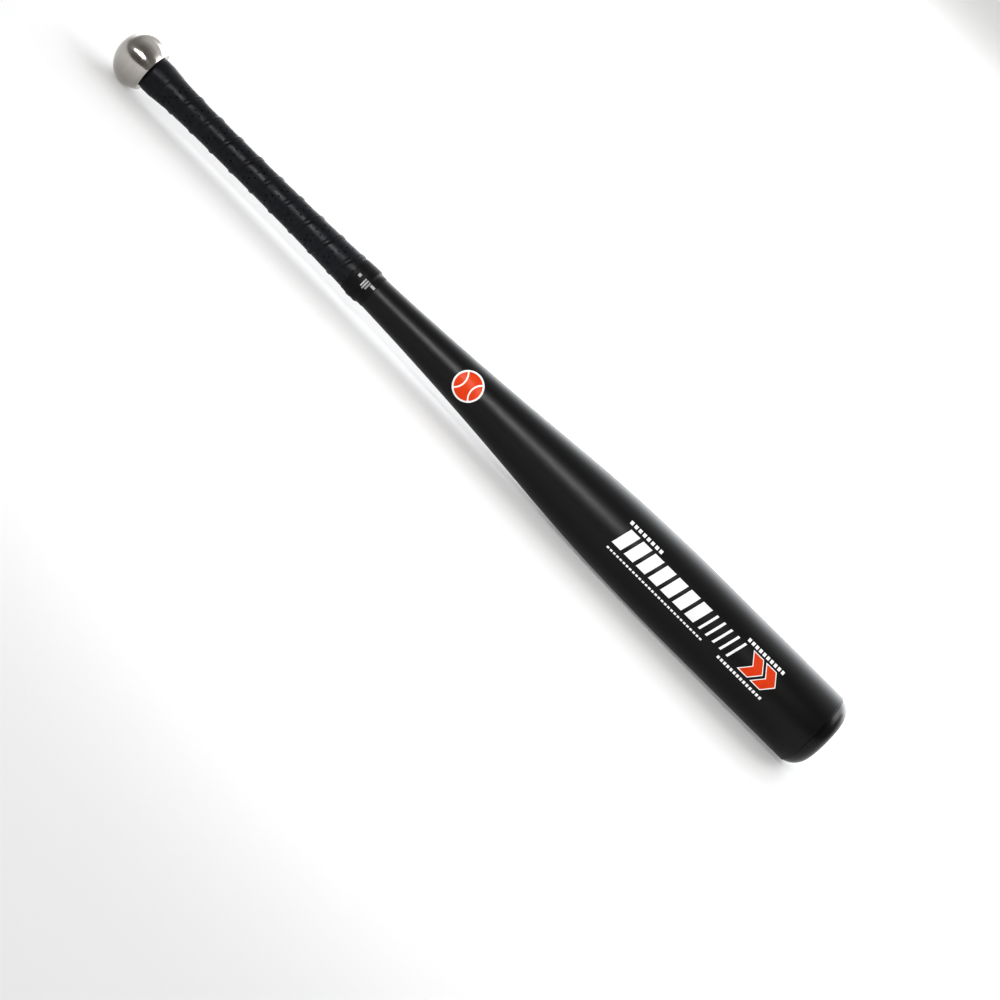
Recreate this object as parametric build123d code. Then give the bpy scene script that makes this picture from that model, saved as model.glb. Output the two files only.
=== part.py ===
"""Handle-weighted training bat: aluminium tube, steel ball knob, steel handle weight, wrapped grip.

Lengths are in millimetres. Stations run along the bat from the tip of the knob (0) to the tip of the
end cap (LENGTH). In the finished model the bat lies along X, knob at -X, with the barrel resting on
Z = 0 and the origin under the middle of its length. The graphics face the -Y side, a little upwards.
"""

import os
from math import acos, atan2, degrees

from build123d import *

# Driving dimensions
LENGTH = 762.0  # 30 in
BARREL_D = 66.7  # 2 5/8 in
HANDLE_D = 21.6
WALL = 2.7

# Knob: a slightly flattened outer half, and a ball-shaped inner half cut flat where the handle starts
KNOB_D = 45.0
KNOB_CENTRE = 19.2
KNOB_SIDE_R = 17.0
KNOB_FACE = 32.7
KNOB_EDGE_R = 0.8
SHANK_FIT = 0.05
SHANK_END = 76.0

# Tube: stations and outside diameters between the straight handle and the straight barrel
SEAT_T = 0.6
TUBE_START = KNOB_FACE + SEAT_T
TAPER_START = 96.0
TAPER_END = 622.0
TAPER = [(188, 22.9), (257, 26.6), (335, 33.6), (427, 46.6), (519, 61.2), (565, 64.9)]
BORE_END = 244.0
MOUTH = 748.6
MOUTH_R = 1.1

# End cap: a crown and a rounded edge, whose arc would reach CAP_R if the mouth didn't cut it off
CAP_R = 33.0
CAP_EDGE_R = 16.0
CAP_CROWN_R = 160.0
CAP_SKIRT_T = 4.0
CAP_SKIRT_START = 732.0
CAP_BEAD_L = 3.0
BOND_T = 0.5
BOND_END = 747.0

# Handle weight and what holds it
STUD_D = 10.0
STUD_FIT = 0.05
STUD_START = 54.0
STUD_END = 104.0
TAP_DEPTH_SPARE = 2.0
SOCKET_R = 2.9
SOCKET_DEPTH = 3.0
LOCK_WASHER_T = 2.2
LOCK_WASHER_BORE_D = 10.2
LOCK_WASHER_D = 15.0
LOCK_WASHER_GAP = 1.0
LOCK_WASHER_SLANT = 25.0
WEIGHT_D = 15.6
WEIGHT_START = SHANK_END + LOCK_WASHER_T
WEIGHT_END = 249.0
WEIGHT_CHAMFER = 1.0
RING_CORD_D = 2.2
RING_STATIONS = {"weight_ring_rear": 112.0, "weight_ring_front": 236.0}
RING_GROOVE_L = 3.0
BUMPER_D = 14.8
BUMPER_L = 10.0
BUMPER_EDGE_R = 2.0
BUMPER_STEM_D = 4.0
BUMPER_STEM_L = 5.0
PIN_D = 4.0
PIN_BORE_D = 2.4
PIN_SLIT = 0.8
PIN_STATION = 45.0
PIN_SHORT = 0.6

# Grip: stations and diameters of the outside of each layer
FLARE = [(40.0, 26.6), (58.0, 23.6), (74.0, 22.3), (86.0, HANDLE_D)]
CUSHION_T = 0.5
CUSHION_START = 44.5
CUFF = [(32.8, 28.9), (37.7, 29.5), (46.0, 27.3)]
CUSHION_SHORT = 2.0
WRAP_T = 0.85
WRAP_END = 266.0
TAPE_START = 251.0
TAPE_END = 273.0
TAPE_BULGE = (262.5, 30.6)
TAPE_T = 0.5

# Printed graphics: thickness of the film, and how far the printed face leans up from -Y
FILM_T = 0.12
FACING = 18.0
LABEL_PATCHES = [(254.0, 257.4, -0.6, 3.4), (261.0, 271.4, -1.6, 3.4)]

# Emblem: a plain ball with two seams, on the taper
EMBLEM_AT = 375.4
EMBLEM_R = 12.6
EMBLEM_RIM = 1.5
SEAM_R = 11.0
SEAM_OUT = 15.0
SEAM_W = 1.3

# Barrel graphic: rows as (start, end, middle height, tick height, pitch), bars as (start, pitch,
# width, count), and chevrons
TICK_ROWS = [
    (536, 571, 14.4, 3.0, 4.4),
    (662, 701, 14.4, 3.0, 3.9),
    (536, 638, -11.6, 1.6, 3.4),
    (654, 701, -11.6, 2.4, 3.4),
]
TICK_SHARE = 0.68
BAR_ROWS = [(536, 12.9, 9.6, 7), (628, 7.4, 2.2, 5)]
BAR_SPAN = (-6.7, 10.6)
BAR_LEAN = 0.25
CHEVRON_START = 672.0
CHEVRON_COUNT = 2
CHEVRON_PITCH = 13.5
CHEVRON_W = 9.0
CHEVRON_POINT = 6.9
CHEVRON_RIM = 0.8

AXIS_HEIGHT = BARREL_D / 2
SKETCH = Plane.XZ


def place(shape):
    """From stations along the X axis to the finished model's frame, as a group of solids."""
    return Pos(-LENGTH / 2, 0, AXIS_HEIGHT) * Compound(solids_of(shape))


def solids_of(shape):
    """The solids of a shape, or of a list of shapes."""
    return shape.solids() if hasattr(shape, "solids") else [s for part in shape for s in solids_of(part)]


def turned(*edges):
    """A body of revolution from its half outline, drawn as (station, radius)."""
    return revolve(SKETCH * make_face(edges), Axis.X)


def turned_polygon(*points):
    return turned(*Polyline(*points, close=True).edges())


def ring(start, end, inner_r, outer_r):
    """A plain collar; a zero inner radius makes it a disc."""
    return turned_polygon((start, inner_r), (end, inner_r), (end, outer_r), (start, outer_r))


def tube_line(offset=0.0):
    """The tube's outside from handle to barrel, moved out by offset."""
    stations = [(TAPER_START, HANDLE_D)] + TAPER + [(TAPER_END, BARREL_D)]
    return Spline(*[(x, d / 2 + offset) for x, d in stations], tangents=((1, 0), (1, 0)))


def bore_line():
    """The tube's inside: a straight bore in the handle, then the outside less the wall."""
    stations = [(BORE_END, bore_r())]
    stations += [(x, d / 2 - WALL) for x, d in TAPER if x > BORE_END + 20]
    stations += [(TAPER_END, BARREL_D / 2 - WALL)]
    return Spline(*stations, tangents=((1, 0), (1, 0)))


def bore_r():
    return HANDLE_D / 2 - WALL


def filled(curve, start, end):
    """Everything inside a curve, with straight leads to both of its ends."""
    first, last = curve @ 0, curve @ 1
    box = Polyline(last, (end, last.Y), (end, 0), (start, 0), (start, first.Y), first)
    return turned(curve, *box.edges())


def tube_solid(offset=0.0, start=TUBE_START, end=MOUTH):
    """Everything inside the tube's outside surface moved out by offset."""
    return filled(tube_line(offset), start, end)


def handle_line(offset):
    """The outside under the grip: the flared sleeve, then the tube, both moved out by offset."""
    flare = Spline(*[(x, d / 2 + offset) for x, d in FLARE], tangents=((1, 0), (1, 0)))
    handle = Line(flare @ 1, (TAPER_START, HANDLE_D / 2 + offset))
    lead = Line((TUBE_START, (flare @ 0).Y), flare @ 0)
    return [lead, flare, handle, tube_line(offset)]


def handle_solid(offset, start, end):
    """The handle with its flare, moved out by offset, between two stations."""
    line = handle_line(offset)
    last = line[-1] @ 1
    whole = turned(
        *line,
        Line(last, (last.X, 0)),
        Line((last.X, 0), (TUBE_START, 0)),
        Line((TUBE_START, 0), line[0] @ 0),
    )
    return whole & ring(start, end, 0, BARREL_D)


def bat_shell():
    """One-piece swaged tube, open at both ends, drilled across for the spring pin."""
    outside = tube_solid()
    mouth_edge = outside.edges().group_by(Axis.X)[-1].sort_by(SortBy.LENGTH)[-1]
    outside = fillet(mouth_edge, MOUTH_R)
    inside = filled(bore_line(), TUBE_START - 1, MOUTH + 1)
    return outside - inside - pin_hole()


def pin_hole():
    return Pos(PIN_STATION, 0, 0) * Cylinder(PIN_D / 2, BARREL_D)


def arc(centre, radius, start_angle, end_angle):
    return CenterArc(centre, radius, start_angle, end_angle - start_angle)


def end_cap():
    """Moulded plug: crowned end, rounded edge and a hollow skirt with a bead at its back."""
    crown_centre = LENGTH - CAP_CROWN_R
    edge_r = CAP_R - CAP_EDGE_R
    edge_reach = ((CAP_CROWN_R - CAP_EDGE_R) ** 2 - edge_r**2) ** 0.5
    edge_centre = crown_centre + edge_reach
    start = degrees(acos((MOUTH - edge_centre) / CAP_EDGE_R))
    join = degrees(atan2(edge_r, edge_reach))
    edge = arc((edge_centre, edge_r), CAP_EDGE_R, start, join)
    crown = arc((crown_centre, 0), CAP_CROWN_R, join, 0)
    barrel_inner = BARREL_D / 2 - WALL
    skirt_r = barrel_inner - BOND_T
    bead_end = CAP_SKIRT_START + CAP_BEAD_L
    back = Polyline(
        (LENGTH, 0),
        (CAP_SKIRT_START, 0),
        (CAP_SKIRT_START, barrel_inner),
        (bead_end, barrel_inner),
        (bead_end, skirt_r),
        (BOND_END, skirt_r),
        (BOND_END, barrel_inner),
        (MOUTH, barrel_inner),
        edge @ 0,
    )
    hollow = ring(CAP_SKIRT_START - 1, MOUTH, 0, skirt_r - CAP_SKIRT_T)
    return turned(edge, crown, *back.edges()) - hollow


def cap_bond_ring():
    """The adhesive between the cap's skirt and the barrel."""
    barrel_inner = BARREL_D / 2 - WALL
    return ring(CAP_SKIRT_START + CAP_BEAD_L, BOND_END, barrel_inner - BOND_T, barrel_inner)


def knob():
    """Turned ball knob with its shank, tapped for the stud and drilled across for the spring pin."""
    r = KNOB_D / 2
    side_centre = r - KNOB_SIDE_R
    tip_r = (KNOB_CENTRE**2 + side_centre**2 - KNOB_SIDE_R**2) / (2 * (KNOB_CENTRE - KNOB_SIDE_R))
    join = degrees(atan2(side_centre, KNOB_CENTRE - tip_r))
    face_reach = KNOB_FACE - KNOB_CENTRE
    face_r = (r**2 - face_reach**2) ** 0.5
    tip = arc((tip_r, 0), tip_r, 180, join)
    side = arc((KNOB_CENTRE, side_centre), KNOB_SIDE_R, join, 90)
    inner = arc((KNOB_CENTRE, 0), r, 90, degrees(atan2(face_r, face_reach)))
    back = Polyline((KNOB_FACE, face_r), (KNOB_FACE, 0), (0, 0))
    ball = turned(tip, side, inner, *back.edges())
    face_edge = ball.edges().group_by(Axis.X)[-1].sort_by(SortBy.LENGTH)[-1]
    ball = fillet(face_edge, KNOB_EDGE_R)
    shank = ring(KNOB_FACE, SHANK_END, 0, bore_r() - SHANK_FIT)
    tapping = ring(STUD_START - TAP_DEPTH_SPARE, SHANK_END, 0, STUD_D / 2)
    return ball + shank - tapping - pin_hole()


def knob_seat_washer():
    return ring(KNOB_FACE, TUBE_START, bore_r(), HANDLE_D / 2)


def weight_stud():
    """Threaded stud between the knob's shank and the weight, drawn at its thread's outside."""
    rod = ring(STUD_START, STUD_END, 0, STUD_D / 2 - STUD_FIT)
    hexagon = Plane.YZ * RegularPolygon(SOCKET_R, 6)
    socket = Pos(STUD_END - SOCKET_DEPTH, 0, 0) * extrude(hexagon, SOCKET_DEPTH)
    return rod - socket


def lock_washer():
    """Split spring washer between the shank and the weight."""
    washer = ring(SHANK_END, WEIGHT_START, LOCK_WASHER_BORE_D / 2, LOCK_WASHER_D / 2)
    cutter = Box(LOCK_WASHER_D, LOCK_WASHER_GAP, LOCK_WASHER_D / 2)
    middle = (SHANK_END + WEIGHT_START) / 2
    return washer - Pos(middle, 0, LOCK_WASHER_D / 4) * Rot(0, 0, LOCK_WASHER_SLANT) * cutter


def handle_weight():
    """Steel bar that slides up the handle, tapped at one end and grooved for two rings."""
    r = WEIGHT_D / 2
    c = WEIGHT_CHAMFER
    bar = turned_polygon(
        (WEIGHT_START, 0),
        (WEIGHT_START, r - c),
        (WEIGHT_START + c, r),
        (WEIGHT_END - c, r),
        (WEIGHT_END, r - c),
        (WEIGHT_END, 0),
    )
    bar -= ring(WEIGHT_START, STUD_END + TAP_DEPTH_SPARE, 0, STUD_D / 2)
    bar -= bumper_stem()
    for station in RING_STATIONS.values():
        half = RING_GROOVE_L / 2
        bar -= ring(station - half, station + half, bore_r() - RING_CORD_D, r + 1)
    return bar


def weight_ring(station):
    """Rubber ring that centres the weight in the tube."""
    cord_r = RING_CORD_D / 2
    return Pos(station, 0, 0) * Rot(0, 90, 0) * Torus(bore_r() - cord_r, cord_r)


def bumper_stem():
    return ring(WEIGHT_END - BUMPER_STEM_L, WEIGHT_END, 0, BUMPER_STEM_D / 2)


def weight_bumper():
    """Rubber end stop with a stem pressed into the weight."""
    head = ring(WEIGHT_END, WEIGHT_END + BUMPER_L, 0, BUMPER_D / 2)
    head = fillet(head.edges().group_by(Axis.X)[-1], BUMPER_EDGE_R)
    return head + bumper_stem()


def spring_pin():
    """Slotted spring pin through the tube and the knob's shank."""
    length = HANDLE_D - PIN_SHORT
    pin = Cylinder(PIN_D / 2, length) - Cylinder(PIN_BORE_D / 2, length)
    pin -= Pos(PIN_D / 2, 0, 0) * Box(PIN_D, PIN_SLIT, length)
    return Pos(PIN_STATION, 0, 0) * pin


def flare_sleeve():
    """Rubber sleeve on the tube that makes the grip swell towards the knob."""
    end = FLARE[-1][0]
    return handle_solid(0, TUBE_START, end) - tube_solid(0, TUBE_START - 1)


def grip_core():
    """Everything under the wrap, foam layer included."""
    return handle_solid(CUSHION_T, CUSHION_START, WRAP_END - CUSHION_SHORT)


def grip_cushion():
    """Thin foam layer between the tube and the wrap."""
    return grip_core() - handle_solid(0, TUBE_START, WRAP_END)


def grip_cuff():
    """The plain first turn of the grip, tight against the knob."""
    top = Spline(*[(x, d / 2) for x, d in CUFF])
    outline = Polyline(top @ 1, (CUFF[-1][0], 0), (CUFF[0][0], 0), top @ 0)
    whole = turned(top, *outline.edges())
    core = ring(KNOB_FACE, TUBE_START, 0, FLARE[0][1] / 2)
    return whole - handle_solid(0, TUBE_START, CUSHION_START) - core - grip_core() - grip_wrap()


def grip_wrap():
    """The spiral-wound perforated strip as one sleeve of its outer shape."""
    whole = handle_solid(CUSHION_T + WRAP_T, CUSHION_START, WRAP_END)
    return whole - grip_core() - tube_solid(0, TUBE_START - 1)


def tape_hull(offset=0.0):
    """Everything inside the finishing tape's outside moved out by offset."""
    mid, bulge_d = TAPE_BULGE
    start_r = tube_radius(TAPE_START) + CUSHION_T + WRAP_T + TAPE_T
    end_r = tube_radius(TAPE_END) + TAPE_T
    stations = [(TAPE_START, start_r), (mid, bulge_d / 2), (TAPE_END, end_r)]
    top = Spline(*[(x, r + offset) for x, r in stations])
    outline = Polyline(top @ 1, (TAPE_END, 0), (TAPE_START, 0), top @ 0)
    return turned(top, *outline.edges())


def finishing_tape():
    """Vinyl tape over the end of the wrap and on to the bare tube."""
    under_wrap = handle_solid(CUSHION_T + WRAP_T, CUSHION_START, WRAP_END)
    return tape_hull() - under_wrap - tube_solid(0, TUBE_START - 1)


def tube_radius(station):
    """The tube's outside radius at a station of its taper."""
    cut = tube_line().intersect(Line((station, 0), (station, BARREL_D)))
    return cut.vertices()[0].Y


def facing(sketch):
    """A sketch drawn as (station, height across the printed side), extruded out of the bat."""
    block = extrude(Plane.XZ * sketch, BARREL_D)
    return Rot(-FACING, 0, 0) * block


def film(under, over, sketch):
    """A printed or stuck film of the sketch's shape, between two surfaces of the bat."""
    return (over & facing(sketch)) - under


def box_at(x0, x1, y0, y1):
    return Pos((x0 + x1) / 2, (y0 + y1) / 2) * Rectangle(x1 - x0, y1 - y0)


def tape_label():
    """Two small plain patches printed on the finishing tape."""
    patches = Sketch() + [box_at(*patch) for patch in LABEL_PATCHES]
    return film(tape_hull(), tape_hull(FILM_T), patches)


def emblem_disc(r):
    return Pos(EMBLEM_AT, 0) * Circle(r)


def emblem_seams():
    """The two curved seams of a ball."""
    seam = Circle(SEAM_R + SEAM_W / 2) - Circle(SEAM_R - SEAM_W / 2)
    seams = [Pos(EMBLEM_AT + side * SEAM_OUT, 0) * seam for side in (-1, 1)]
    return (Sketch() + seams) & emblem_disc(EMBLEM_R - EMBLEM_RIM / 2)


def emblem_white():
    rim = emblem_disc(EMBLEM_R) - emblem_disc(EMBLEM_R - EMBLEM_RIM)
    return film(tube_solid(), tube_solid(FILM_T), rim + emblem_seams())


def emblem_orange():
    disc = emblem_disc(EMBLEM_R - EMBLEM_RIM) - emblem_seams()
    return film(tube_solid(), tube_solid(FILM_T), disc)


def tick_row(start, end, middle, height, pitch):
    """A row of small plain ticks."""
    count = round((end - start) / pitch)
    return [
        box_at(x, x + pitch * TICK_SHARE, middle - height / 2, middle + height / 2)
        for x in (start + pitch * n for n in range(count))
    ]


def bar_row(start, pitch, width, count):
    """A row of upright bars that lean towards the end cap."""
    low, high = BAR_SPAN
    lean = (high - low) * BAR_LEAN
    bars = []
    for x in (start + pitch * n for n in range(count)):
        corners = [(x, low), (x + width, low), (x + width + lean, high), (x + lean, high)]
        bars.append(make_face(Polyline(*corners, close=True)))
    return bars


def chevrons():
    low, high = BAR_SPAN
    middle = (low + high) / 2
    shapes = []
    for n in range(CHEVRON_COUNT):
        x = CHEVRON_START + n * CHEVRON_PITCH
        back = [(x + CHEVRON_POINT, middle), (x, low), (x + CHEVRON_W, low)]
        front = [(x + CHEVRON_W + CHEVRON_POINT, middle), (x + CHEVRON_W, high), (x, high)]
        shapes.append(make_face(Polyline(*back, *front, close=True)))
    return Sketch() + shapes


def graphic_white():
    shapes = [piece for row in TICK_ROWS for piece in tick_row(*row)]
    shapes += [piece for row in BAR_ROWS for piece in bar_row(*row)]
    outline = offset(chevrons(), CHEVRON_RIM, kind=Kind.INTERSECTION) - chevrons()
    return film(tube_solid(), tube_solid(FILM_T), Sketch() + shapes + outline)


def graphic_orange():
    return film(tube_solid(), tube_solid(FILM_T), chevrons())


def nodes():
    """Every piece of the bat by name."""
    pieces = {
        "bat_shell": bat_shell(),
        "end_cap": end_cap(),
        "cap_bond_ring": cap_bond_ring(),
        "knob": knob(),
        "knob_seat_washer": knob_seat_washer(),
        "spring_pin": spring_pin(),
        "weight_stud": weight_stud(),
        "lock_washer": lock_washer(),
        "handle_weight": handle_weight(),
        "weight_bumper": weight_bumper(),
        "flare_sleeve": flare_sleeve(),
        "grip_cushion": grip_cushion(),
        "grip_cuff": grip_cuff(),
        "grip_wrap": grip_wrap(),
        "finishing_tape": finishing_tape(),
        "tape_label": tape_label(),
        "emblem_white": emblem_white(),
        "emblem_orange": emblem_orange(),
        "graphic_white": graphic_white(),
        "graphic_orange": graphic_orange(),
    }
    for name, station in RING_STATIONS.items():
        pieces[name] = weight_ring(station)
    return pieces


def main():
    os.makedirs("parts", exist_ok=True)
    for name, piece in nodes().items():
        export_step(place(piece), f"parts/{name}.step")


main()
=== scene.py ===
"""Looks of the handle-weighted training bat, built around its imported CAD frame.

Blender's units are metres. Outlines are written in millimetres, as (station, radius): stations
run along the bat from the tip of the knob to the tip of the end cap, and place() turns them into
metres.
"""

import math

import bmesh
import bpy
import numpy as np
from mathutils import Matrix, Vector, noise


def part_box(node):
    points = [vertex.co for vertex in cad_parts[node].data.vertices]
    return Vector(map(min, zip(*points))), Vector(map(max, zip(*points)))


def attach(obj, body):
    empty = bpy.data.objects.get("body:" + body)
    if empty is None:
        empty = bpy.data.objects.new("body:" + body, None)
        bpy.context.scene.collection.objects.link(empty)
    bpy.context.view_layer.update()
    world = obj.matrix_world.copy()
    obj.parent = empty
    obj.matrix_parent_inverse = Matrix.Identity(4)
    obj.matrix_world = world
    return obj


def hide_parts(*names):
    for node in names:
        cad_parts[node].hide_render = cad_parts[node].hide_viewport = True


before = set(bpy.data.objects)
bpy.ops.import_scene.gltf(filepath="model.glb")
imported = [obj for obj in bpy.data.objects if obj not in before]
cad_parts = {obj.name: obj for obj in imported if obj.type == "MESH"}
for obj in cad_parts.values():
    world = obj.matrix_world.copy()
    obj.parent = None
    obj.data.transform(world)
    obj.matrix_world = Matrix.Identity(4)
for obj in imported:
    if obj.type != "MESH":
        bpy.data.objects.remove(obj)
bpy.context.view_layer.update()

MM = 0.001
KNOB_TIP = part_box("knob")[0].x
AXIS_Z = (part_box("bat_shell")[0].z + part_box("bat_shell")[1].z) / 2
LENGTH = (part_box("end_cap")[1].x - KNOB_TIP) / MM
BARREL_R = (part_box("bat_shell")[1].z - AXIS_Z) / MM
KNOB_R = (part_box("knob")[1].z - AXIS_Z) / MM
TUBE_START = (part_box("bat_shell")[0].x - KNOB_TIP) / MM
MOUTH = (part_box("bat_shell")[1].x - KNOB_TIP) / MM
CAP_BACK = (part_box("end_cap")[0].x - KNOB_TIP) / MM
TAPE_START = (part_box("finishing_tape")[0].x - KNOB_TIP) / MM
TAPE_END = (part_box("finishing_tape")[1].x - KNOB_TIP) / MM
CUFF_START = (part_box("grip_cuff")[0].x - KNOB_TIP) / MM
SHANK_END = (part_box("knob")[1].x - KNOB_TIP) / MM

# The tube's outside between the straight handle and the straight barrel: stations and radii
HANDLE_R = 10.8
TAPER_END = 622
TAPER = [
    (96, HANDLE_R), (188, 11.45), (257, 13.3), (335, 16.8),
    (427, 23.3), (519, 30.6), (565, 32.45), (TAPER_END, BARREL_R),
]
# The flare of the handle under the grip
FLARE = [(40, 13.3), (58, 11.8), (74, 11.15), (86, HANDLE_R)]
WALL = 2.7
MOUTH_R = 1.1
KNOB_CENTRE = 19.2
SEAT_T = 0.6
CUSHION_T = 0.5
WRAP_T = 0.85

# The printed side leans up from -Y by this angle
FACING = math.radians(18)


# Curves -------------------------------------------------------------------------------------------


def smooth_curve(points):
    """A cubic spline through points, level at both ends, as a function."""
    xs, ys = np.array(points, float).T
    h, slope = np.diff(xs), np.diff(ys) / np.diff(xs)
    n = len(xs)
    a, b = np.zeros((n, n)), np.zeros(n)
    a[0, 0] = a[-1, -1] = 1
    for i in range(1, n - 1):
        a[i, i - 1 : i + 2] = h[i], 2 * (h[i - 1] + h[i]), h[i - 1]
        b[i] = 3 * (h[i] * slope[i - 1] + h[i - 1] * slope[i])
    d = np.linalg.solve(a, b)

    def value(x):
        x = np.clip(np.asarray(x, float), xs[0], xs[-1])
        i = np.clip(np.searchsorted(xs, x, side="right") - 1, 0, n - 2)
        t = (x - xs[i]) / h[i]
        return (
            (1 + 2 * t) * (1 - t) ** 2 * ys[i]
            + t * (1 - t) ** 2 * h[i] * d[i]
            + t**2 * (3 - 2 * t) * ys[i + 1]
            + t**2 * (t - 1) * h[i] * d[i + 1]
        )

    return value


tube_r = smooth_curve(TAPER)
flare_r = smooth_curve(FLARE)


def handle_r(station):
    """Outside radius under the grip: the flared sleeve, then the tube."""
    return np.maximum(flare_r(station), tube_r(station))


GRIP_STATIONS = np.arange(0, 320, 0.25)
GRIP_RADII = handle_r(GRIP_STATIONS)


def grip_r(station):
    """The same radius from a table, for the many points of the grip."""
    return float(np.interp(station, GRIP_STATIONS, GRIP_RADII))


def ramp(x, start, end):
    """0 before start, 1 after end, smooth between."""
    t = min(max((x - start) / (end - start), 0.0), 1.0)
    return t * t * (3 - 2 * t)


def arc(centre, radius, start, end, count):
    """Points on an arc, in degrees from the knob-to-barrel direction."""
    angles = np.radians(np.linspace(start, end, count))
    return [(centre[0] + radius * math.cos(t), centre[1] + radius * math.sin(t)) for t in angles]


def run(function, start, end, count):
    """Points (station, function(station))."""
    return [(x, float(function(x))) for x in np.linspace(start, end, count)]


def place(station, radius, angle):
    """A point in metres. The angle turns from -Y (0) up to +Z (a quarter turn)."""
    return (
        KNOB_TIP + station * MM,
        -radius * MM * math.cos(angle),
        AXIS_Z + radius * MM * math.sin(angle),
    )


# Meshes -------------------------------------------------------------------------------------------


def make_object(name, verts, faces, material, sharp=40):
    mesh = bpy.data.meshes.new(name)
    mesh.from_pydata([tuple(v) for v in verts], [], faces)
    mesh.validate()
    mesh.shade_smooth()
    mesh.set_sharp_from_angle(angle=math.radians(sharp))
    mesh.materials.append(material)
    obj = bpy.data.objects.new(name, mesh)
    bpy.context.scene.collection.objects.link(obj)
    return obj


def face_outwards(obj):
    bm = bmesh.new()
    bm.from_mesh(obj.data)
    bmesh.ops.recalc_face_normals(bm, faces=bm.faces)
    bm.to_mesh(obj.data)
    bm.free()
    return obj


def settle(obj, node):
    """The piece rides on the bat and stands in for its CAD node, which it hides."""
    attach(obj, "root")
    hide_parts(node)


def lathe(name, outline, segments, material, lift=None, sharp=40):
    """A closed body of revolution. lift(station, radius, angle) may add to the radius, in mm."""
    verts, rings = [], []
    for station, radius in outline:
        if radius < 1e-6:
            rings.append([len(verts)] * segments)
            verts.append(place(station, 0, 0))
            continue
        rings.append(range(len(verts), len(verts) + segments))
        for n in range(segments):
            angle = 2 * math.pi * n / segments
            extra = lift(station, radius, angle) if lift else 0
            verts.append(place(station, radius + extra, angle))
    faces = []
    for k in range(len(rings)):
        a, b = rings[k], rings[(k + 1) % len(rings)]
        if a[0] == a[1] and b[0] == b[1]:
            continue
        for n in range(segments):
            m = (n + 1) % segments
            corners = [a[n], b[n], b[m], a[m]]
            face = [v for i, v in enumerate(corners) if v != corners[i - 1]]
            faces.append(face)
    return face_outwards(make_object(name, verts, faces, material, sharp))


def lumps(station, angle, size, stretch=1.0, seed=0.0):
    """Smooth noise over the bat's skin, from about -1 to 1; size is in mm."""
    r = 14.0
    return noise.noise(
        Vector((station / size + seed, r * math.cos(angle) / size / stretch,
                r * math.sin(angle) / size / stretch))
    )


# Materials ----------------------------------------------------------------------------------------


class Shader:
    """A Principled material with a few short ways to add nodes."""

    def __init__(self, name, color, **values):
        self.material = bpy.data.materials.new(name)
        self.material.use_nodes = True
        self.tree = self.material.node_tree
        self.bsdf = self.tree.nodes["Principled BSDF"]
        self.set("Base Color", (*color, 1))
        for key, value in values.items():
            self.set(key.replace("_", " "), value)
        self.where = self.node("ShaderNodeTexCoord").outputs["Object"]

    def set(self, socket, value):
        self.bsdf.inputs[socket].default_value = value

    def node(self, kind, **settings):
        node = self.tree.nodes.new(kind)
        for key, value in settings.items():
            if key.startswith("in_"):
                node.inputs[key[3:].replace("_", " ")].default_value = value
            else:
                setattr(node, key, value)
        return node

    def link(self, out, into):
        self.tree.links.new(out, into)

    def stretched(self, scale):
        """Object coordinates stretched by scale along each axis."""
        node = self.node("ShaderNodeMapping")
        node.inputs["Scale"].default_value = scale
        self.link(self.where, node.inputs["Vector"])
        return node.outputs["Vector"]

    def noise(self, scale, detail=3.0, roughness=0.5, where=None):
        node = self.node(
            "ShaderNodeTexNoise", in_Scale=scale, in_Detail=detail, in_Roughness=roughness
        )
        self.link(where or self.where, node.inputs["Vector"])
        return node.outputs["Fac"]

    def cells(self, scale):
        node = self.node("ShaderNodeTexVoronoi", feature="F1", in_Scale=scale)
        self.link(self.where, node.inputs["Vector"])
        return node.outputs["Distance"]

    def fit(self, value, low, high, from_low=0.0, from_high=1.0):
        node = self.node("ShaderNodeMapRange")
        node.inputs["From Min"].default_value = from_low
        node.inputs["From Max"].default_value = from_high
        node.inputs["To Min"].default_value = low
        node.inputs["To Max"].default_value = high
        self.link(value, node.inputs["Value"])
        return node.outputs["Result"]

    def rough(self, value, low, high, from_low=0.35, from_high=0.65):
        self.link(self.fit(value, low, high, from_low, from_high), self.bsdf.inputs["Roughness"])

    def tint(self, value, dark, light, from_low=0.35, from_high=0.65):
        node = self.node("ShaderNodeMix", data_type="RGBA")
        self.link(self.fit(value, 0, 1, from_low, from_high), node.inputs["Factor"])
        node.inputs["A"].default_value = (*dark, 1)
        node.inputs["B"].default_value = (*light, 1)
        self.link(node.outputs["Result"], self.bsdf.inputs["Base Color"])

    def bump(self, height, distance, strength=1.0):
        """Bumps on top of the earlier ones; distance is in metres."""
        node = self.node("ShaderNodeBump", in_Strength=strength, in_Distance=distance)
        self.link(height, node.inputs["Height"])
        normal = self.bsdf.inputs["Normal"]
        if normal.links:
            self.link(normal.links[0].from_socket, node.inputs["Normal"])
        self.link(node.outputs["Normal"], normal)


def satin_black():
    """Satin black finish of the tube: fine orange peel and faint rubbed patches."""
    s = Shader("satin_black", (0.002, 0.002, 0.0022), Roughness=0.42, IOR=1.48)
    s.rough(s.noise(14, 5, 0.6), 0.40, 0.45)
    s.bump(s.noise(900, 2), 0.00002, 0.35)
    return s.material


def black_urethane():
    s = Shader("black_urethane", (0.006, 0.006, 0.0065), Roughness=0.3, IOR=1.42)
    s.rough(s.noise(40, 4), 0.26, 0.36)
    s.bump(s.noise(1500, 2), 0.00002, 0.3)
    return s.material


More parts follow.
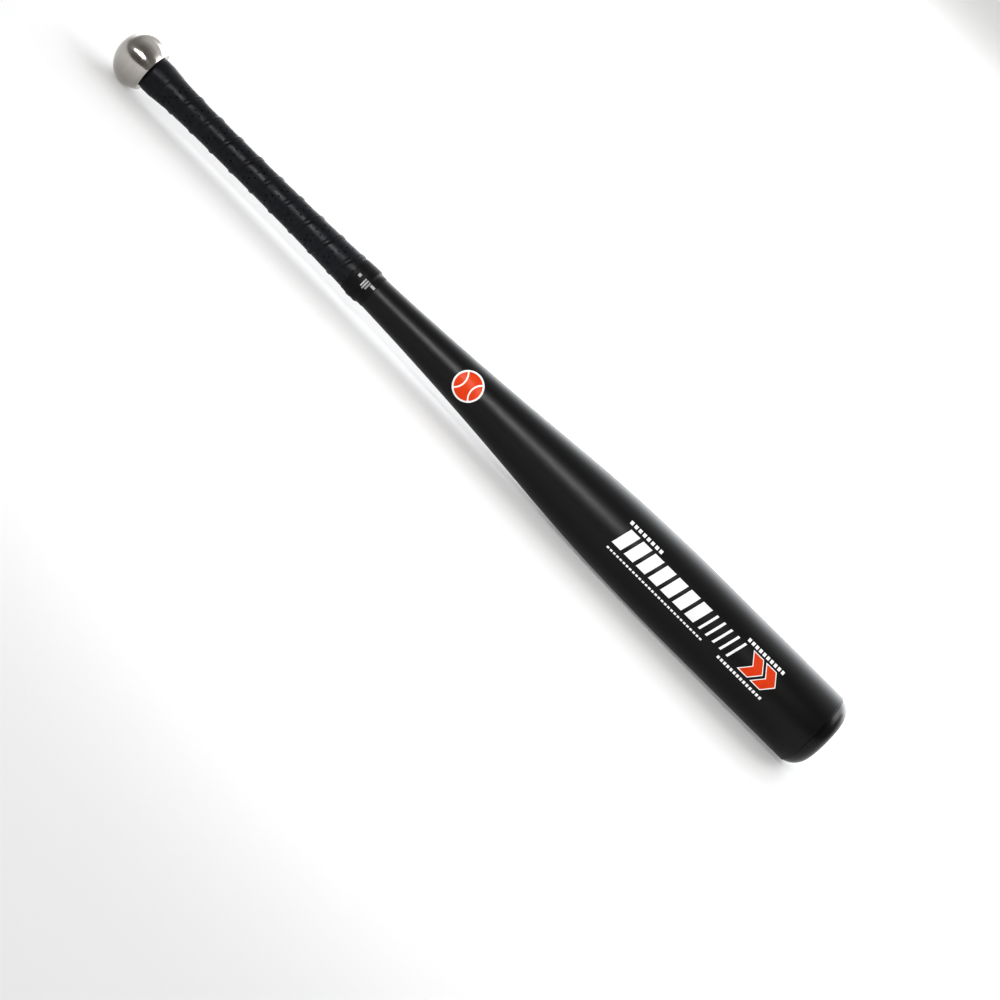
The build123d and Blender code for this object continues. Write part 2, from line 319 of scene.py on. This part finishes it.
def satin_steel():
    """Turned and polished stainless steel: fine rings round the knob's axis."""
    s = Shader("satin_steel", (0.52, 0.50, 0.475), Metallic=1.0, Roughness=0.2, Anisotropic=0.8,
               Anisotropic_Rotation=0.25)
    s.rough(s.noise(1.0, 4, 0.6, s.stretched((900, 40, 40))), 0.18, 0.23)
    rings = s.noise(1.0, 3, 0.6, s.stretched((500, 30, 30)))
    s.tint(rings, (0.50, 0.48, 0.455), (0.53, 0.51, 0.485))
    s.bump(s.noise(1.0, 3, 0.7, s.stretched((2400, 30, 30))), 0.000004, 0.4)
    tangent = s.node("ShaderNodeTangent", direction_type="RADIAL", axis="X")
    s.link(tangent.outputs["Tangent"], s.bsdf.inputs["Tangent"])
    return s.material


def grip_leather():
    """Soft perforated leather-like strip: pebbled grain, slightly bluish, and painted shade in its
    holes, where it loses its reflection.
    """
    s = Shader("grip_leather", (0.008, 0.009, 0.0125), Roughness=0.42, IOR=1.42)
    s.tint(s.noise(220, 4), (0.0055, 0.0063, 0.009), (0.0115, 0.013, 0.018))
    s.rough(s.noise(90, 4), 0.36, 0.48)
    s.bump(s.cells(1100), 0.00005, 0.3)
    s.bump(s.noise(2600, 3), 0.00003, 0.3)
    # Painted shade: the walls and bottoms of the holes, marked by a mesh attribute, lose all
    # reflection.
    hole_shade = s.node("ShaderNodeAttribute", attribute_name="hole_shade").outputs["Fac"]
    s.link(s.fit(hole_shade, 0.5, 0.0), s.bsdf.inputs["Specular IOR Level"])
    return s.material


def vinyl_tape():
    s = Shader("vinyl_tape", (0.003, 0.003, 0.0035), Roughness=0.5, IOR=1.4)
    s.rough(s.noise(160, 3), 0.45, 0.58)
    s.bump(s.noise(1.0, 3, 0.5, s.stretched((260, 90, 90))), 0.0001, 0.35)
    return s.material


def ink(name, dark, light):
    """Screen-printed ink with a little unevenness."""
    s = Shader(name, light, Roughness=0.45, IOR=1.4)
    s.tint(s.noise(300, 4), dark, light)
    s.rough(s.noise(500, 3), 0.40, 0.52)
    s.bump(s.noise(1400, 2), 0.00002, 0.3)
    return s.material


def machined_steel():
    s = Shader("machined_steel", (0.48, 0.48, 0.49), Metallic=1.0, Roughness=0.35)
    s.rough(s.noise(120, 4), 0.28, 0.45)
    s.bump(s.noise(1.0, 2, 0.5, s.stretched((3000, 80, 80))), 0.00002, 0.5)
    return s.material


def black_rubber():
    s = Shader("black_rubber", (0.015, 0.015, 0.015), Roughness=0.7)
    s.tint(s.noise(150, 4), (0.011, 0.011, 0.011), (0.022, 0.022, 0.021))
    s.bump(s.noise(1200, 3), 0.00004, 0.4)
    return s.material


def adhesive():
    s = Shader("adhesive", (0.6, 0.56, 0.42), Roughness=0.4)
    s.tint(s.noise(200, 3), (0.52, 0.48, 0.34), (0.66, 0.62, 0.48))
    return s.material


# Pieces -------------------------------------------------------------------------------------------


def bat_shell(material):
    """The tube, from its end at the knob to its rounded mouth, with a bore that widens later."""
    bore_end = 244
    outside = run(tube_r, TUBE_START, TAPER_END, 150) + [(650, BARREL_R), (700, BARREL_R)]
    mouth = arc((MOUTH - MOUTH_R, BARREL_R - MOUTH_R), MOUTH_R, 90, 0, 7)
    inside = [(MOUTH, BARREL_R - WALL), (TAPER_END, BARREL_R - WALL)]
    inside += [(x, r - WALL) for x, r in run(tube_r, 600, 330, 24)]
    inside += [(bore_end, HANDLE_R - WALL), (TUBE_START, HANDLE_R - WALL)]
    return lathe("bat_shell_looks", outside + mouth + inside, 192, material)


def end_cap(material):
    """The plug: rounded edge, slightly crowned face with a moulding gate mark, and hollow skirt."""
    cap_r, edge_radius, crown_radius = 33.0, 16.0, 160.0
    web, web_corner, bead = CAP_BACK + 14, CAP_BACK + 12, CAP_BACK + 3
    bond_end = MOUTH - 1.6
    crown_centre = LENGTH - crown_radius
    edge_r = cap_r - edge_radius
    reach = math.sqrt((crown_radius - edge_radius) ** 2 - edge_r**2)
    start = math.degrees(math.acos((MOUTH + 0.3 - crown_centre - reach) / edge_radius))
    join = math.degrees(math.atan2(edge_r, reach))
    inner_r = BARREL_R - WALL
    web_r, skirt_r, bond_r = inner_r - 6, inner_r - 4.5, inner_r - 0.5
    outline = [(MOUTH + 0.02, BARREL_R - MOUTH_R)]
    outline += arc((crown_centre + reach, edge_r), edge_radius, start, join, 28)
    outline += arc((crown_centre, 0), crown_radius, join, 0.6, 14)[1:]
    gate = [(LENGTH - 0.25, 2.0), (LENGTH - 0.4, 1.6), (LENGTH - 0.4, 0.0)]
    skirt = [
        (web, 0), (web, web_r), (web_corner, skirt_r), (CAP_BACK, skirt_r),
        (CAP_BACK, inner_r), (bead, inner_r), (bead, bond_r),
        (bond_end, bond_r), (bond_end, inner_r), (MOUTH + 0.02, inner_r),
    ]
    return lathe("end_cap_looks", outline + gate + skirt, 160, material)


def knob(material):
    """The ball knob: a flattened tip, a round side and a ball behind it, cut flat at the handle."""
    centre, side_radius, edge = KNOB_CENTRE, 17.0, 0.8
    side_centre = KNOB_R - side_radius
    tip_radius = (centre**2 + side_centre**2 - side_radius**2) / (2 * (centre - side_radius))
    join = math.degrees(math.atan2(side_centre, centre - tip_radius))
    reach = TUBE_START - SEAT_T - centre
    face_r = math.sqrt(KNOB_R**2 - reach**2)
    last = math.degrees(math.atan2(face_r, reach))
    outline = arc((tip_radius, 0), tip_radius, 180, join, 30)
    outline += arc((centre, side_centre), side_radius, join, 90, 34)[1:]
    outline += arc((centre, 0), KNOB_R, 90, last + 2.5, 26)[1:]
    outline += arc((centre + reach - edge, face_r - edge * 0.55), edge, 40, 0, 6)
    outline += [(centre + reach, HANDLE_R - WALL), (SHANK_END, HANDLE_R - WALL), (SHANK_END, 0)]
    return lathe("knob_looks", outline, 160, material)


def grip_cuff(material):
    """The plain first turn of the grip, with a rolled edge against the knob and a small step."""
    shoulder = 44.6
    top = smooth_curve(
        [(CUFF_START, 14.45), (34.6, 14.75), (38.5, 14.85), (43.2, 14.75), (shoulder, 14.6)]
    )
    outline = arc((CUFF_START + 0.7, 13.85), 0.7, 180, 100, 6)
    outline += run(top, CUFF_START + 1.0, shoulder, 28)
    outline += [(44.85, 14.5), (44.95, 14.3), (44.95, 13.9), (CUT_START - 0.05, 13.9),
                (CUT_START - 0.05, 12.9), (CUFF_START, 12.9)]

    def lift(station, radius, angle):
        if radius < 13.95:
            return 0
        return 0.10 * lumps(station, angle, 9) + 0.04 * lumps(station, angle, 3, seed=7)

    return lathe("grip_cuff_looks", outline, 200, material, lift)


# The wrap: a left-handed helix whose turns lie this far apart. Each turn's edge on the barrel side
# lies on top of its neighbour. The strip is drawn flat as (distance along, distance across).
PITCH = 21.6
TURN_AT = 14.6
GRIP_MEAN_R = 12.4
STRIP_W = 24.1
LAP_W = 3.3
LAP_RISE = 0.7
# How far the covered edge is thinned, then how far and over what width the lap's edge is rounded
SKIVE = 0.3
ROUNDING, ROUNDING_W = 0.60, 1.9
# Where the strip is cut off square at both ends
CUT_START, CUT_END = 44.0, 266.0
# Three rows of holes, each in its own cell of the mesh. Every side of a cell meets two of the
# hole's eight sides, so their number can't be changed alone.
HOLE_R = 0.66
HOLE_DEPTH = 0.6
HOLE_PERIOD = 8.4
HOLE_SIDE = 2.6
HOLE_CELL = 0.75
HOLE_SIDES = 8


def lap_station(angle):
    """Where, at this angle, the edge of some turn lies; the others are whole pitches away."""
    slope = PITCH / (2 * math.pi)
    return TURN_AT + slope * angle + STRIP_W / 2 * math.hypot(1, slope / GRIP_MEAN_R)


def wrap_base(station):
    return grip_r(station) + CUSHION_T


class Helix:
    """The strip's middle line, with the angle it has turned through at each distance along it."""

    def __init__(self, start, end):
        self.slope = PITCH / (2 * math.pi)
        first, last = (start - TURN_AT) / self.slope, (end - TURN_AT) / self.slope
        self.angles = np.linspace(first, last, 4000)
        radii = handle_r(TURN_AT + self.slope * self.angles) + CUSHION_T + WRAP_T
        steps = np.hypot(radii, self.slope)[1:] * np.diff(self.angles)
        self.along = np.concatenate([[0], np.cumsum(steps)])
        self.length = self.along[-1]

    def at(self, along, across):
        """Station and angle of a point of the strip."""
        angle = float(np.interp(along, self.along, self.angles))
        middle = TURN_AT + self.slope * angle
        r = grip_r(middle) + CUSHION_T + WRAP_T
        lean = math.atan2(self.slope, r)
        return middle + across * math.cos(lean), angle - across * math.sin(lean) / r


def strip_top(across):
    """Height of the strip's outside over the plain wrap's outside."""
    edge = STRIP_W / 2
    band = edge - LAP_W
    rise = LAP_RISE * ramp(across, band - 1.3, band + 0.7)
    rounding = ROUNDING * max(0.0, (across - edge + ROUNDING_W) / ROUNDING_W) ** 2
    skive = SKIVE * (1 - ramp(across, -band - 1.0, -band + 0.9))
    return rise - rounding - skive


def strip_bottom(across):
    """Height of the strip's underside over the plain wrap's underside."""
    band = STRIP_W / 2 - LAP_W
    return (WRAP_T - SKIVE + 0.03) * ramp(across, band - 1.0, band - 0.1)


def lap_share(station):
    """The turn next to the cuff is pressed flat, and its lap only grows from here."""
    return ramp(station, 57, 67)


def grip_wrap(material):
    """The perforated strip, wound round the handle."""
    helix = Helix(CUT_START - 30, CUT_END + 30)
    half = STRIP_W / 2
    per_period = 10
    step = HOLE_PERIOD / per_period
    columns = int(helix.length / step)
    hole_rows = [-HOLE_SIDE, 0, HOLE_SIDE]
    rows = [-half, -half + 0.5, -half + 1.7, -8.7, -8.0, -7.2, -6.2, -5.2, -4.2]
    rows += [v + side for v in hole_rows for side in (-HOLE_CELL, HOLE_CELL)]
    rows += [4.2, 5.2, 6.2, 7.0, 7.6, 8.2, 8.8, 9.4, 10.2, 11.0]
    rows += [half - 0.6, half - 0.3, half - 0.1, half]
    rows.sort()
    bottom_rows = [half, half - LAP_W + 0.2, half - LAP_W - 0.5, half - LAP_W - 1.2]
    bottom_rows += [3, -3, -8, -half]

    verts, faces = [], []

    def vertex(along, across, height, wobble=True):
        station, angle = helix.at(along, across)
        r = wrap_base(station) + height
        if across > 7:
            r -= LAP_RISE * ramp(across, 7.5, 9.4) * (1 - lap_share(station)) * 0.9
        if wobble:
            r += 0.05 * lumps(station, angle, 7) + 0.03 * lumps(station, angle, 2.2, 1, 5)
            r += 0.03 * lumps(along / 3, across / 12, 4, 1, 30)
        verts.append(place(station, r, angle))
        return len(verts) - 1

    def edge_wobble(along, across):
        amount = 0.22 * noise.noise(Vector((along / 17, 3.1, 0.0)))
        amount += 0.08 * noise.noise(Vector((along / 4, 9.7, 0.0)))
        return across + amount * (ramp(abs(across), 8.5, half))

    top = {}
    for i in range(columns + 1):
        for j, v in enumerate(rows):
            v2 = edge_wobble(i * step, v)
            top[i, j] = vertex(i * step, v2, WRAP_T + strip_top(v))
    bottom = {}
    for i in range(columns + 1):
        for j, v in enumerate(bottom_rows):
            v2 = edge_wobble(i * step, v)
            bottom[i, j] = vertex(i * step, v2, strip_bottom(v), wobble=False)

    def hole(i, j, v):
        """A round dimple in the cell whose low corner is (i, j); the cell is two columns wide."""
        middle = (i + 1) * step
        corners = [top[i, j], top[i + 2, j], top[i + 2, j + 1], top[i, j + 1]]
        mids = {0: top[i + 1, j], 2: top[i + 1, j + 1]}
        rings = []
        # Marks this hole's walls and bottom for painted shade: the leather loses its reflection
        # there.
        shaded_hole_starts.add(len(verts) + HOLE_SIDES)
        for radius, depth in ((HOLE_R, 0.0), (HOLE_R * 0.93, 0.1), (HOLE_R * 0.85, HOLE_DEPTH)):
            ring = []
            for k in range(HOLE_SIDES):
                t = math.radians(-112.5 + 45 * k)
                ring.append(vertex(middle + radius * math.cos(t), v + radius * math.sin(t),
                                   WRAP_T + strip_top(v) - depth))
            rings.append(ring)
        first = rings[0]
        for k in range(4):
            a, b = corners[k], corners[(k + 1) % 4]
            near, far = first[2 * k], first[2 * k + 1]
            faces.append([a, mids[k], b, far, near] if k in mids else [a, b, far, near])
            faces.append([a, near, first[2 * k - 1]])
        for outer, inner in zip(rings, rings[1:]):
            for k in range(HOLE_SIDES):
                m = (k + 1) % HOLE_SIDES
                faces.append([outer[k], outer[m], inner[m], inner[k]])
        faces.append(rings[-1])

    holes, shaded_hole_starts = {}, set()
    for v in hole_rows:
        j = rows.index(v - HOLE_CELL)
        start = 4 if v == 0 else 9
        for i in range(start, columns - 2, per_period):
            holes[i, j] = v
    covered = set(holes) | {(i + 1, j) for i, j in holes}
    for i in range(columns):
        for j in range(len(rows) - 1):
            if (i, j) not in covered:
                faces.append([top[i, j], top[i + 1, j], top[i + 1, j + 1], top[i, j + 1]])
        for j in range(len(bottom_rows) - 1):
            faces.append([bottom[i, j], bottom[i + 1, j], bottom[i + 1, j + 1], bottom[i, j + 1]])
        last = len(rows) - 1
        faces.append([top[i, last], top[i + 1, last], bottom[i + 1, 0], bottom[i, 0]])
        low = len(bottom_rows) - 1
        faces.append([bottom[i, low], bottom[i + 1, low], top[i + 1, 0], top[i, 0]])
    for (i, j), v in holes.items():
        hole(i, j, v)
    obj = make_object("grip_wrap_looks", verts, faces, material, 50)
    # The attribute that paints shade into the holes by taking away their reflection.
    hole_shade = obj.data.attributes.new("hole_shade", "FLOAT", "POINT")
    for first in shaded_hole_starts:
        for k in range(first, first + 2 * HOLE_SIDES):
            hole_shade.data[k].value = 1.0

    bm = bmesh.new()
    bm.from_mesh(obj.data)
    for station, out in ((CUT_START, -1), (CUT_END, 1)):
        cut = bmesh.ops.bisect_plane(
            bm, geom=bm.verts[:] + bm.edges[:] + bm.faces[:], plane_co=place(station, 0, 0),
            plane_no=(out, 0, 0), clear_outer=True,
        )
        edges = [e for e in cut["geom_cut"] if isinstance(e, bmesh.types.BMEdge)]
        bmesh.ops.triangle_fill(bm, edges=edges, use_beauty=True)
    bmesh.ops.recalc_face_normals(bm, faces=bm.faces)
    bm.to_mesh(obj.data)
    bm.free()
    obj.data.set_sharp_from_angle(angle=math.radians(50))
    return obj


def wrap_outside(station, angle):
    """Outside of the wrap as the finishing tape follows it, bridging the groove at the lap."""
    over = (station - lap_station(angle)) % PITCH
    lap = 0.42 * (ramp(over, PITCH - 4.5, PITCH - 3.0)) * (1 - (ramp(over, PITCH - 0.8, PITCH)))
    lap += 0.42 * (1 - (ramp(over, 0.0, 1.0))) * float(over < 1.0)
    cut = 1 - (ramp(station, CUT_END - 0.6, CUT_END + 2.4))
    return grip_r(station) + (CUSHION_T + WRAP_T + lap) * cut


def tape_radius(station, angle):
    """Outside of the finishing tape: a thin base, then two turns, the second further along."""
    r = wrap_outside(station, angle) + 0.2
    turn = angle % (2 * math.pi)
    for k, (start, end) in enumerate([(TAPE_START, TAPE_END - 3.2), (TAPE_START + 2.6, TAPE_END)]):
        drift = 0.5 * math.sin(turn + 2.1 * k)
        r += 0.15 * (ramp(station, start + drift + 0.2, start + drift + 0.5)) * (
            1 - (ramp(station, end - 0.9 + drift * 0.6, end - 0.5 + drift * 0.6)))
    r += 0.10 * lumps(station, angle, 5, 2.5, 11) + 0.05 * lumps(station, angle, 1.8, 3, 17)
    return r


def finishing_tape(material):
    """A sleeve whose nominal radius of 20 is replaced, point by point, by the tape's own."""
    nominal = 20.0
    stations = np.arange(TAPE_START + 0.05, TAPE_END, 0.3)
    outline = [(TAPE_START, 13.0)] + [(x, nominal) for x in stations] + [(TAPE_END, 13.6)]
    outline += [(CUT_END + 1.0, 13.0), (CUT_END - 1.0, 13.0)]

    def lift(station, radius, angle):
        if radius < 19:
            return 0
        edge = min(station - TAPE_START, TAPE_END - station)
        return tape_radius(station, angle) - radius - 0.1 * max(0, 1 - edge / 0.3)

    return lathe("finishing_tape_looks", outline, 240, material, lift, 50)


def tape_label(material):
    """Small plain marks on the tape, each a thin closed sheet that follows it."""
    film, sunk, cell, tape_mean_r = 0.06, 0.02, 0.4, 14.5
    verts, faces = [], []
    # Each mark's first and last station, and its lower and upper edge round the tape
    marks = [
        (255.5, 258.1, 0.7, 3.2), (261.9, 263.3, -3.2, 3.2), (264.0, 265.4, -3.8, 3.2),
        (266.1, 267.5, -3.0, 3.2), (268.2, 272.4, 1.0, 3.2),
    ]
    for x0, x1, y0, y1 in marks:
        nx, ny = round((x1 - x0) / cell), round((y1 - y0) / cell)
        base = len(verts)
        for level in (-sunk, film):
            for i in range(nx + 1):
                for j in range(ny + 1):
                    x, y = x0 + (x1 - x0) * i / nx, y0 + (y1 - y0) * j / ny
                    angle = FACING + math.asin(y / tape_mean_r)
                    verts.append(place(x, tape_radius(x, angle) + level, angle))
        sheet = (nx + 1) * (ny + 1)

        def at(i, j, level):
            return base + level * sheet + i * (ny + 1) + j

        for i in range(nx):
            for j in range(ny):
                for level in (0, 1):
                    faces.append([at(i, j, level), at(i + 1, j, level), at(i + 1, j + 1, level),
                                  at(i, j + 1, level)])
        rim = [(i, 0) for i in range(nx)] + [(nx, j) for j in range(ny)]
        rim += [(i, ny) for i in range(nx, 0, -1)] + [(0, j) for j in range(ny, 0, -1)]
        for a, b in zip(rim, rim[1:] + rim[:1]):
            faces.append([at(*a, 0), at(*b, 0), at(*b, 1), at(*a, 1)])
    return face_outwards(make_object("tape_label_looks", verts, faces, material))


# Scene --------------------------------------------------------------------------------------------


def soft_light(name, at, target, size, radiance, spread=180, color=(1, 1, 1)):
    """A rectangular softbox that the camera doesn't see.

    It has this radiance when open (spread 180). A smaller spread is a grid that gathers the same
    power, so it is brighter than that on its axis and dark beyond the spread.
    """
    data = bpy.data.lights.new(name, "AREA")
    data.shape = "RECTANGLE"
    data.size, data.size_y = size
    data.energy = radiance * math.pi * size[0] * size[1]
    data.color = color
    data.spread = math.radians(spread)
    obj = bpy.data.objects.new(name, data)
    obj.location = at
    obj.rotation_euler = (Vector(target) - Vector(at)).to_track_quat("-Z", "Y").to_euler()
    obj.visible_camera = False
    bpy.context.scene.collection.objects.link(obj)


def floor():
    """A pale, faintly lit table, sloping slightly because barrel and knob both touch it."""
    knob_x, knob_low = KNOB_CENTRE, -KNOB_R
    slope = min((-float(tube_r(x)) - knob_low) / (x - knob_x) for x in range(450, 740, 5))
    s = Shader("pale_floor", (0.54, 0.54, 0.54), Roughness=0.8)
    s.set("Emission Color", (1, 1, 1, 1))
    s.set("Emission Strength", 0.2)
    half = 9.0
    obj = make_object("floor", [(-half, -half, 0), (half, -half, 0), (half, half, 0),
                                (-half, half, 0)], [(0, 1, 2, 3)], s.material)
    obj.rotation_euler = (0, -math.atan(slope), 0)
    touch = Vector(place(knob_x, 0, 0)) + Vector((0, 0, knob_low * MM))
    obj.location = (0, 0, touch.z - slope * touch.x)


WORLD_PEAK = 2.6
# Brightness round from the back horizon (0) over the top (90) to the front horizon (180)
SKY = [
    (0, 1.2), (18, 0.72), (28, 0.25), (38, 0.24), (75, 0.24), (95, 0.15), (112, 0.09), (135, 0.06),
    (160, 0.055), (178, 0.055),
]
SIDE_SKY = 0.10


def studio():
    """A bright backdrop behind, fading over the top to a dim room behind the camera."""
    world = bpy.data.worlds.new("studio")
    bpy.context.scene.world = world
    world.use_nodes = True
    tree = world.node_tree
    nodes, links = tree.nodes, tree.links
    back = nodes["Background"]
    where = nodes.new("ShaderNodeTexCoord")
    split = nodes.new("ShaderNodeSeparateXYZ")
    links.new(where.outputs["Generated"], split.inputs[0])
    turn = nodes.new("ShaderNodeMath")
    turn.operation = "ARCTAN2"
    links.new(split.outputs["Z"], turn.inputs[0])
    links.new(split.outputs["Y"], turn.inputs[1])
    share = nodes.new("ShaderNodeMath")
    share.operation = "DIVIDE"
    share.inputs[1].default_value = math.pi
    links.new(turn.outputs[0], share.inputs[0])
    sky = nodes.new("ShaderNodeValToRGB")
    sky.color_ramp.interpolation = "EASE"
    elements = sky.color_ramp.elements
    for angle, value in SKY[1:-1]:
        elements.new(angle / 180)
    for element, (angle, value) in zip(elements, SKY):
        warm = 1 - 0.12 * (ramp(angle, 80, 120))
        element.position = angle / 180
        element.color = (value, value * (1 + warm) / 2, value * warm, 1)
    links.new(share.outputs[0], sky.inputs["Fac"])
    sideways = nodes.new("ShaderNodeMath")
    sideways.operation = "ABSOLUTE"
    links.new(split.outputs["X"], sideways.inputs[0])
    fade = nodes.new("ShaderNodeMapRange")
    fade.interpolation_type = "SMOOTHSTEP"
    fade.inputs["From Min"].default_value = 0.45
    fade.inputs["From Max"].default_value = 0.95
    links.new(sideways.outputs[0], fade.inputs["Value"])
    blend = nodes.new("ShaderNodeMix")
    blend.data_type = "RGBA"
    blend.inputs["B"].default_value = (SIDE_SKY, SIDE_SKY, SIDE_SKY, 1)
    links.new(fade.outputs["Result"], blend.inputs["Factor"])
    links.new(sky.outputs["Color"], blend.inputs["A"])
    links.new(blend.outputs["Result"], back.inputs["Color"])
    back.inputs["Strength"].default_value = WORLD_PEAK
    white = nodes.new("ShaderNodeBackground")
    white.inputs["Color"].default_value = (1, 1, 1, 1)
    seen = nodes.new("ShaderNodeLightPath")
    mix = nodes.new("ShaderNodeMixShader")
    links.new(seen.outputs["Is Camera Ray"], mix.inputs["Fac"])
    links.new(back.outputs[0], mix.inputs[1])
    links.new(white.outputs[0], mix.inputs[2])
    links.new(mix.outputs[0], nodes["World Output"].inputs["Surface"])


def lights():
    soft_light("strip", (-0.215, -1.166, 0.87), (0.16, 0, AXIS_Z), (0.57, 0.2), 3.0, spread=60)
    soft_light("left", (-1.05, -1.166, 0.87), (-1.05, 0, AXIS_Z), (1.1, 0.2), 6.0)
    soft_light("backdrop", (0.56, 1.12, 0.84), (0.56, 0, AXIS_Z), (1.68, 0.95), 2.35,
               color=(0.93, 0.97, 1.0))
    soft_light("right", (1.5, 0.45, 1.45), (0.1, 0, 0), (1.0, 1.0), 3.2)
    soft_light("far", (0.2, 2.5, 2.2), (0.2, 2.5, 0), (3.6, 2.2), 1.5, spread=75)


CAMERA_LENS = 108.0
CAMERA_DISTANCE = 2.3065
CAMERA_ELEVATION = math.radians(19.1)
CAMERA_ROLL = math.radians(44.87)
# Where the camera points: this far along the bat from its middle, and this far below its axis
AIM_ALONG, AIM_BELOW = 0.0728, 0.0446


def camera():
    e = CAMERA_ELEVATION
    along, upright = Vector((1, 0, 0)), Vector((0, math.sin(e), math.cos(e)))
    back = Vector((0, -math.cos(e), math.sin(e)))
    right = math.cos(CAMERA_ROLL) * along + math.sin(CAMERA_ROLL) * upright
    up = math.cos(CAMERA_ROLL) * upright - math.sin(CAMERA_ROLL) * along
    middle = Vector((KNOB_TIP + LENGTH * MM / 2, 0, AXIS_Z))
    aim = middle + along * AIM_ALONG - upright * AIM_BELOW
    data = bpy.data.cameras.new("camera")
    data.lens = CAMERA_LENS
    data.sensor_width = 36
    obj = bpy.data.objects.new("camera", data)
    obj.matrix_world = Matrix.Translation(aim + back * CAMERA_DISTANCE) @ Matrix(
        (right, up, back)
    ).transposed().to_4x4()
    bpy.context.scene.collection.objects.link(obj)
    bpy.context.scene.camera = obj


def main():
    steel, rubber = machined_steel(), black_rubber()
    leather, tape = grip_leather(), vinyl_tape()
    white = ink("white_ink", (0.80, 0.80, 0.80), (0.86, 0.86, 0.86))
    grey = ink("grey_ink", (0.34, 0.34, 0.35), (0.48, 0.48, 0.49))
    orange = ink("orange_ink", (0.64, 0.061, 0.005), (0.69, 0.068, 0.006))
    kept = {
        "handle_weight": steel, "weight_stud": steel, "lock_washer": steel, "spring_pin": steel,
        "weight_bumper": rubber, "weight_ring_rear": rubber, "weight_ring_front": rubber,
        "flare_sleeve": rubber, "grip_cushion": rubber, "knob_seat_washer": rubber,
        "cap_bond_ring": adhesive(), "emblem_white": white, "graphic_white": white,
        "emblem_orange": orange, "graphic_orange": orange,
    }
    for name, material in kept.items():
        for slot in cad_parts[name].material_slots:
            slot.material = material
    settle(bat_shell(satin_black()), "bat_shell")
    settle(end_cap(black_urethane()), "end_cap")
    settle(knob(satin_steel()), "knob")
    settle(grip_cuff(leather), "grip_cuff")
    settle(grip_wrap(leather), "grip_wrap")
    settle(finishing_tape(tape), "finishing_tape")
    settle(tape_label(grey), "tape_label")
    floor()
    studio()
    lights()
    camera()
    view = bpy.context.scene.view_settings
    view.view_transform, view.look = "Standard", "High Contrast"


main()
